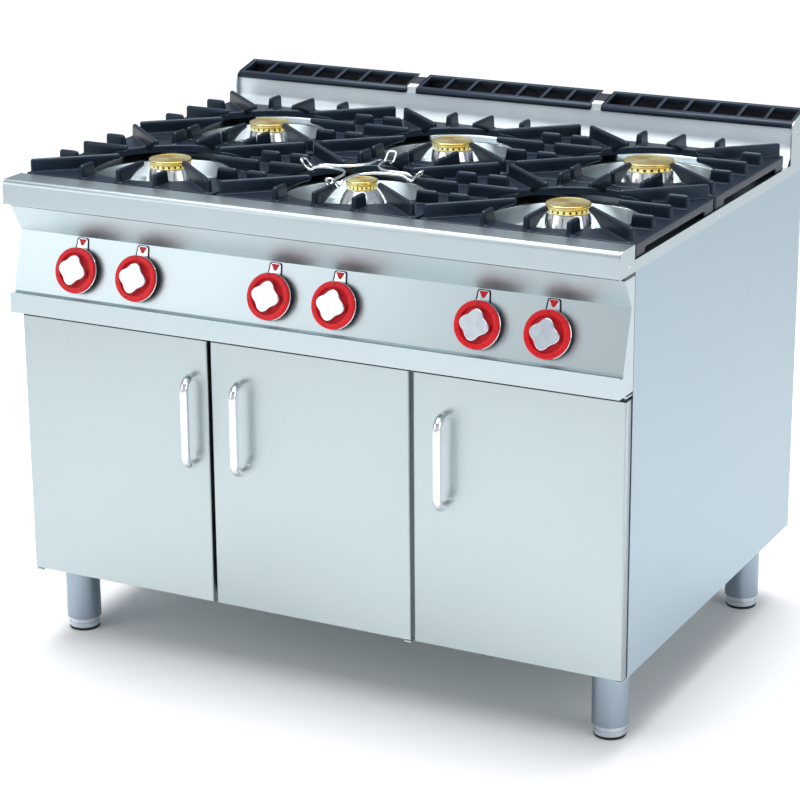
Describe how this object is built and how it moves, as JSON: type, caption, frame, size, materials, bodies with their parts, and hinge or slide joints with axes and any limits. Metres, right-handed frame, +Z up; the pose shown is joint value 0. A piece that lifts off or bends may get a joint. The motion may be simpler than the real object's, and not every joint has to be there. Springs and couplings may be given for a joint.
{
  "type": "commercial gas range",
  "caption": "Free-standing commercial gas range: open burners under cast-iron grates, rear flue grilles, turn knobs on a sloping panel, and a cupboard base with hinged doors on legs.",
  "frame": {"origin": "on the floor, under the centre of the range", "axes": "+X along the front from left to right, +Y towards the back, +Z up"},
  "size_m": [1.2, 0.9, 0.97],
  "materials": {
    "stainless": "satin brushed stainless steel",
    "cast_iron": "satin enamelled cast iron",
    "brass": "turned brass",
    "bright_chrome": "polished",
    "steel": "zinc plated",
    "foot_steel": "satin",
    "knob_red": "gloss",
    "knob_black": "satin",
    "rubber": "matt"
  },
  "bodies": {
    "cabinet": {"chassis": "stainless", "base_panel": "stainless", "partition": "stainless", "side_panel_left": "stainless", "side_panel_right": "stainless", "back_panel": "stainless", "hob_top": "stainless", "hob_sides": "stainless", "flue_housing": "stainless", "control_panel": "stainless", "drip_bowls": "stainless", "leg_tubes": "stainless", "burner_bodies": "bright_chrome", "gas_taps": "brass", "gas_manifold": "steel", "supply_tubes": "brass", "index_plates": "bright_chrome", "hinge_pins": "steel", "screws": "steel"},
    "door_1": {"door_skin_1": "stainless", "door_liner_1": "stainless", "door_handle_1": "bright_chrome"},
    "door_2": {"door_skin_2": "stainless", "door_liner_2": "stainless", "door_handle_2": "bright_chrome"},
    "door_3": {"door_skin_3": "stainless", "door_liner_3": "stainless", "door_handle_3": "bright_chrome"},
    "spindle_1": {"tap_spindle_1": "steel"},
    "knob_1": {"knob_1": "knob_red"},
    "spindle_2": {"tap_spindle_2": "steel"},
    "knob_2": {"knob_2": "knob_red"},
    "spindle_3": {"tap_spindle_3": "steel"},
    "knob_3": {"knob_3": "knob_red"},
    "spindle_4": {"tap_spindle_4": "steel"},
    "knob_4": {"knob_4": "knob_red"},
    "spindle_5": {"tap_spindle_5": "steel"},
    "knob_5": {"knob_5": "knob_red"},
    "spindle_6": {"tap_spindle_6": "steel"},
    "knob_6": {"knob_6": "knob_red"},
    "grate_1": {"grate_1": "cast_iron"},
    "burner_cap_1": {"burner_cap_1": "brass"},
    "grate_2": {"grate_2": "cast_iron"},
    "burner_cap_2": {"burner_cap_2": "brass"},
    "grate_3": {"grate_3": "cast_iron"},
    "burner_cap_3": {"burner_cap_3": "brass"},
    "grate_4": {"grate_4": "cast_iron"},
    "burner_cap_4": {"burner_cap_4": "brass"},
    "grate_5": {"grate_5": "cast_iron"},
    "burner_cap_5": {"burner_cap_5": "brass"},
    "grate_6": {"grate_6": "cast_iron"},
    "burner_cap_6": {"burner_cap_6": "brass"},
    "flue_grille_1": {"flue_grille_1": "cast_iron"},
    "flue_grille_2": {"flue_grille_2": "cast_iron"},
    "flue_grille_3": {"flue_grille_3": "cast_iron"},
    "trivet": {"trivet": "bright_chrome"},
    "foot_1": {"foot_1": "foot_steel"},
    "foot_2": {"foot_2": "foot_steel"},
    "foot_3": {"foot_3": "foot_steel"},
    "foot_4": {"foot_4": "foot_steel"}
  },
  "joints": [
    {"name": "door_1_hinge", "type": "hinge", "parent": "cabinet", "child": "door_1", "pos_m": [-0.592, -0.39875, 0.389], "axis": [0, 0, -1], "range_deg": [0, 105]},
    {"name": "door_2_hinge", "type": "hinge", "parent": "cabinet", "child": "door_2", "pos_m": [0.191, -0.39875, 0.389], "axis": [0, 0, 1], "range_deg": [0, 105]},
    {"name": "door_3_hinge", "type": "hinge", "parent": "cabinet", "child": "door_3", "pos_m": [0.592, -0.39875, 0.389], "axis": [0, 0, 1], "range_deg": [0, 105]},
    {"name": "tap_1_turn", "type": "hinge", "parent": "cabinet", "child": "spindle_1", "pos_m": [-0.464, -0.41542, 0.738], "axis": [0, -0.9613, 0.2756], "range_deg": [0, 180]},
    {"name": "knob_1_push", "type": "slide", "parent": "spindle_1", "child": "knob_1", "axis": [0, -0.9613, 0.2756], "range_m": [-0.004, 0], "stiffness_N_per_m": 1500, "springref_m": 0.001},
    {"name": "tap_2_turn", "type": "hinge", "parent": "cabinet", "child": "spindle_2", "pos_m": [-0.336, -0.41542, 0.738], "axis": [0, -0.9613, 0.2756], "range_deg": [0, 180]},
    {"name": "knob_2_push", "type": "slide", "parent": "spindle_2", "child": "knob_2", "axis": [0, -0.9613, 0.2756], "range_m": [-0.004, 0], "stiffness_N_per_m": 1500, "springref_m": 0.001},
    {"name": "tap_3_turn", "type": "hinge", "parent": "cabinet", "child": "spindle_3", "pos_m": [-0.064, -0.41542, 0.738], "axis": [0, -0.9613, 0.2756], "range_deg": [0, 180]},
    {"name": "knob_3_push", "type": "slide", "parent": "spindle_3", "child": "knob_3", "axis": [0, -0.9613, 0.2756], "range_m": [-0.004, 0], "stiffness_N_per_m": 1500, "springref_m": 0.001},
    {"name": "tap_4_turn", "type": "hinge", "parent": "cabinet", "child": "spindle_4", "pos_m": [0.064, -0.41542, 0.738], "axis": [0, -0.9613, 0.2756], "range_deg": [0, 180]},
    {"name": "knob_4_push", "type": "slide", "parent": "spindle_4", "child": "knob_4", "axis": [0, -0.9613, 0.2756], "range_m": [-0.004, 0], "stiffness_N_per_m": 1500, "springref_m": 0.001},
    {"name": "tap_5_turn", "type": "hinge", "parent": "cabinet", "child": "spindle_5", "pos_m": [0.336, -0.41542, 0.738], "axis": [0, -0.9613, 0.2756], "range_deg": [0, 180]},
    {"name": "knob_5_push", "type": "slide", "parent": "spindle_5", "child": "knob_5", "axis": [0, -0.9613, 0.2756], "range_m": [-0.004, 0], "stiffness_N_per_m": 1500, "springref_m": 0.001},
    {"name": "tap_6_turn", "type": "hinge", "parent": "cabinet", "child": "spindle_6", "pos_m": [0.464, -0.41542, 0.738], "axis": [0, -0.9613, 0.2756], "range_deg": [0, 180]},
    {"name": "knob_6_push", "type": "slide", "parent": "spindle_6", "child": "knob_6", "axis": [0, -0.9613, 0.2756], "range_m": [-0.004, 0], "stiffness_N_per_m": 1500, "springref_m": 0.001},
    {"name": "grate_1_lift", "type": "slide", "parent": "cabinet", "child": "grate_1", "axis": [0, 0, 1], "range_m": [0, 0.11]},
    {"name": "burner_cap_1_lift", "type": "slide", "parent": "cabinet", "child": "burner_cap_1", "axis": [0, 0, 1], "range_m": [0, 0.085]},
    {"name": "grate_2_lift", "type": "slide", "parent": "cabinet", "child": "grate_2", "axis": [0, 0, 1], "range_m": [0, 0.11]},
    {"name": "burner_cap_2_lift", "type": "slide", "parent": "cabinet", "child": "burner_cap_2", "axis": [0, 0, 1], "range_m": [0, 0.085]},
    {"name": "grate_3_lift", "type": "slide", "parent": "cabinet", "child": "grate_3", "axis": [0, 0, 1], "range_m": [0, 0.11]},
    {"name": "burner_cap_3_lift", "type": "slide", "parent": "cabinet", "child": "burner_cap_3", "axis": [0, 0, 1], "range_m": [0, 0.085]},
    {"name": "grate_4_lift", "type": "slide", "parent": "cabinet", "child": "grate_4", "axis": [0, 0, 1], "range_m": [0, 0.11]},
    {"name": "burner_cap_4_lift", "type": "slide", "parent": "cabinet", "child": "burner_cap_4", "axis": [0, 0, 1], "range_m": [0, 0.085]},
    {"name": "grate_5_lift", "type": "slide", "parent": "cabinet", "child": "grate_5", "axis": [0, 0, 1], "range_m": [0, 0.11]},
    {"name": "burner_cap_5_lift", "type": "slide", "parent": "cabinet", "child": "burner_cap_5", "axis": [0, 0, 1], "range_m": [0, 0.085]},
    {"name": "grate_6_lift", "type": "slide", "parent": "cabinet", "child": "grate_6", "axis": [0, 0, 1], "range_m": [0, 0.11]},
    {"name": "burner_cap_6_lift", "type": "slide", "parent": "cabinet", "child": "burner_cap_6", "axis": [0, 0, 1], "range_m": [0, 0.085]},
    {"name": "flue_grille_1_lift", "type": "slide", "parent": "cabinet", "child": "flue_grille_1", "axis": [0, 0, 1], "range_m": [0, 0.05]},
    {"name": "flue_grille_2_lift", "type": "slide", "parent": "cabinet", "child": "flue_grille_2", "axis": [0, 0, 1], "range_m": [0, 0.05]},
    {"name": "flue_grille_3_lift", "type": "slide", "parent": "cabinet", "child": "flue_grille_3", "axis": [0, 0, 1], "range_m": [0, 0.05]},
    {"name": "trivet_lift", "type": "slide", "parent": "grate_2", "child": "trivet", "axis": [0, 0, 1], "range_m": [0, 0.06]},
    {"name": "foot_1_level", "type": "slide", "parent": "cabinet", "child": "foot_1", "axis": [0, 0, 1], "range_m": [-0.03, 0]},
    {"name": "foot_2_level", "type": "slide", "parent": "cabinet", "child": "foot_2", "axis": [0, 0, 1], "range_m": [-0.03, 0]},
    {"name": "foot_3_level", "type": "slide", "parent": "cabinet", "child": "foot_3", "axis": [0, 0, 1], "range_m": [-0.03, 0]},
    {"name": "foot_4_level", "type": "slide", "parent": "cabinet", "child": "foot_4", "axis": [0, 0, 1], "range_m": [-0.03, 0]}
  ]
}
